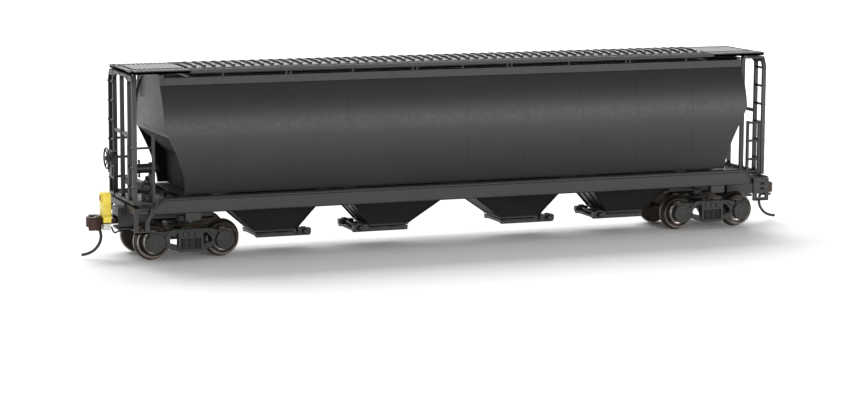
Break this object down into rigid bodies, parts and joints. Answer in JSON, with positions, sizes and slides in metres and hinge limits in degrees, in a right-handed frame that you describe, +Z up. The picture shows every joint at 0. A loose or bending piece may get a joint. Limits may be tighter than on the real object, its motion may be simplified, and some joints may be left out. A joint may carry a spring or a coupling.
{
  "type": "model hopper car",
  "caption": "Scale model of a cylindrical covered grain hopper railway car with hopper bays, sprung knuckle couplers, swivelling trucks, end ladders and an end-of-train flasher.",
  "frame": {"origin": "under the middle of the car, at the lowest point of the wheel flanges; the rail head is 0.7 mm above it", "axes": "+X along the car, away from the hand brake and flasher end; +Z up; +Y to the car's other side"},
  "size_m": [0.2242, 0.0352, 0.0554],
  "materials": {
    "body_plastic": "satin black moulded styrene",
    "truck_plastic": "dull black acetal",
    "wheel_metal": "chemically browned metal with polished treads",
    "coupler_metal": "dark red-brown",
    "plain_steel": "dark steel",
    "spring_bronze": "bright spring strip",
    "yellow_plastic": "bright yellow",
    "clear_plastic": "milky",
    "red_lens": "clear red",
    "circuit_board": "green solder mask",
    "wire_jacket": "black jacket"
  },
  "bodies": {
    "car_body": {"air_reservoir": "body_plastic", "ballast_weight": "plain_steel", "body_shell": "body_plastic", "brake_cylinder": "body_plastic", "brake_housing": "body_plastic", "control_valve": "body_plastic", "coupler_lid_left": "body_plastic", "coupler_lid_right": "body_plastic", "end_cage_left": "body_plastic", "end_cage_right": "body_plastic", "flasher_board": "circuit_board", "hopper_inner_left": "body_plastic", "hopper_inner_right": "body_plastic", "hopper_outer_left": "body_plastic", "hopper_outer_right": "body_plastic", "lid_screw_left": "plain_steel", "lid_screw_right": "plain_steel", "open_step_left": "body_plastic", "open_step_right": "body_plastic", "outlet_gate_inner_left": "body_plastic", "outlet_gate_inner_right": "body_plastic", "outlet_gate_outer_left": "body_plastic", "outlet_gate_outer_right": "body_plastic", "plate_step_left": "body_plastic", "plate_step_right": "body_plastic", "roof_hatch_strip": "body_plastic", "roof_walkway": "body_plastic", "side_ladder_left": "body_plastic", "side_ladder_right": "body_plastic", "truck_screw_left": "plain_steel", "truck_screw_right": "plain_steel", "underframe": "body_plastic"},
    "truck_left": {"truck_frame_left": "truck_plastic", "pickup_wiper": "spring_bronze"},
    "wheelset_outer_left": {"axle_outer_left": "wheel_metal", "wheel_outer_left_a": "wheel_metal", "wheel_outer_left_b": "wheel_metal"},
    "wheelset_inner_left": {"axle_inner_left": "wheel_metal", "wheel_inner_left_a": "wheel_metal", "wheel_inner_left_b": "wheel_metal"},
    "coupler_left": {"coupler_head_left": "coupler_metal", "trip_pin_left": "plain_steel", "flasher_housing": "yellow_plastic", "flasher_lens": "red_lens", "flasher_clip": "clear_plastic", "flasher_lead": "wire_jacket"},
    "knuckle_left": {"coupler_knuckle_left": "coupler_metal"},
    "truck_right": {"truck_frame_right": "truck_plastic"},
    "wheelset_outer_right": {"axle_outer_right": "wheel_metal", "wheel_outer_right_a": "wheel_metal", "wheel_outer_right_b": "wheel_metal"},
    "wheelset_inner_right": {"axle_inner_right": "wheel_metal", "wheel_inner_right_a": "wheel_metal", "wheel_inner_right_b": "wheel_metal"},
    "coupler_right": {"coupler_head_right": "coupler_metal", "trip_pin_right": "plain_steel"},
    "knuckle_right": {"coupler_knuckle_right": "coupler_metal"},
    "hand_brake_wheel": {"brake_wheel": "body_plastic"}
  },
  "joints": [
    {"name": "truck_swivel_left", "type": "hinge", "parent": "car_body", "child": "truck_left", "pos_m": [-0.0832, 0, 0.0094], "axis": [0, 0, 1], "range_deg": [-12, 12]},
    {"name": "wheel_roll_outer_left", "type": "hinge", "parent": "truck_left", "child": "wheelset_outer_left", "pos_m": [-0.0934, 0, 0.00551], "axis": [0, 1, 0], "continuous": true},
    {"name": "wheel_roll_inner_left", "type": "hinge", "parent": "truck_left", "child": "wheelset_inner_left", "pos_m": [-0.073, 0, 0.00551], "axis": [0, 1, 0], "continuous": true},
    {"name": "coupler_swing_left", "type": "hinge", "parent": "car_body", "child": "coupler_left", "pos_m": [-0.096, 0, 0.0106], "axis": [0, 0, 1], "range_deg": [-12, 12], "stiffness_Nm_per_rad": 0.002},
    {"name": "knuckle_open_left", "type": "hinge", "parent": "coupler_left", "child": "knuckle_left", "pos_m": [-0.1086, 0.00175, 0.0106], "axis": [0, 0, -1], "range_deg": [0, 24], "stiffness_Nm_per_rad": 0.0005},
    {"name": "truck_swivel_right", "type": "hinge", "parent": "car_body", "child": "truck_right", "pos_m": [0.0832, 0, 0.0094], "axis": [0, 0, 1], "range_deg": [-12, 12]},
    {"name": "wheel_roll_outer_right", "type": "hinge", "parent": "truck_right", "child": "wheelset_outer_right", "pos_m": [0.0934, 0, 0.00551], "axis": [0, 1, 0], "continuous": true},
    {"name": "wheel_roll_inner_right", "type": "hinge", "parent": "truck_right", "child": "wheelset_inner_right", "pos_m": [0.073, 0, 0.00551], "axis": [0, 1, 0], "continuous": true},
    {"name": "coupler_swing_right", "type": "hinge", "parent": "car_body", "child": "coupler_right", "pos_m": [0.096, 0, 0.0106], "axis": [0, 0, 1], "range_deg": [-12, 12], "stiffness_Nm_per_rad": 0.002},
    {"name": "knuckle_open_right", "type": "hinge", "parent": "coupler_right", "child": "knuckle_right", "pos_m": [0.1086, -0.00175, 0.0106], "axis": [0, 0, -1], "range_deg": [0, 24], "stiffness_Nm_per_rad": 0.0005},
    {"name": "hand_brake_turn", "type": "hinge", "parent": "car_body", "child": "hand_brake_wheel", "pos_m": [-0.1032, 0.0045, 0.0282], "axis": [1, 0, 0], "continuous": true}
  ]
}
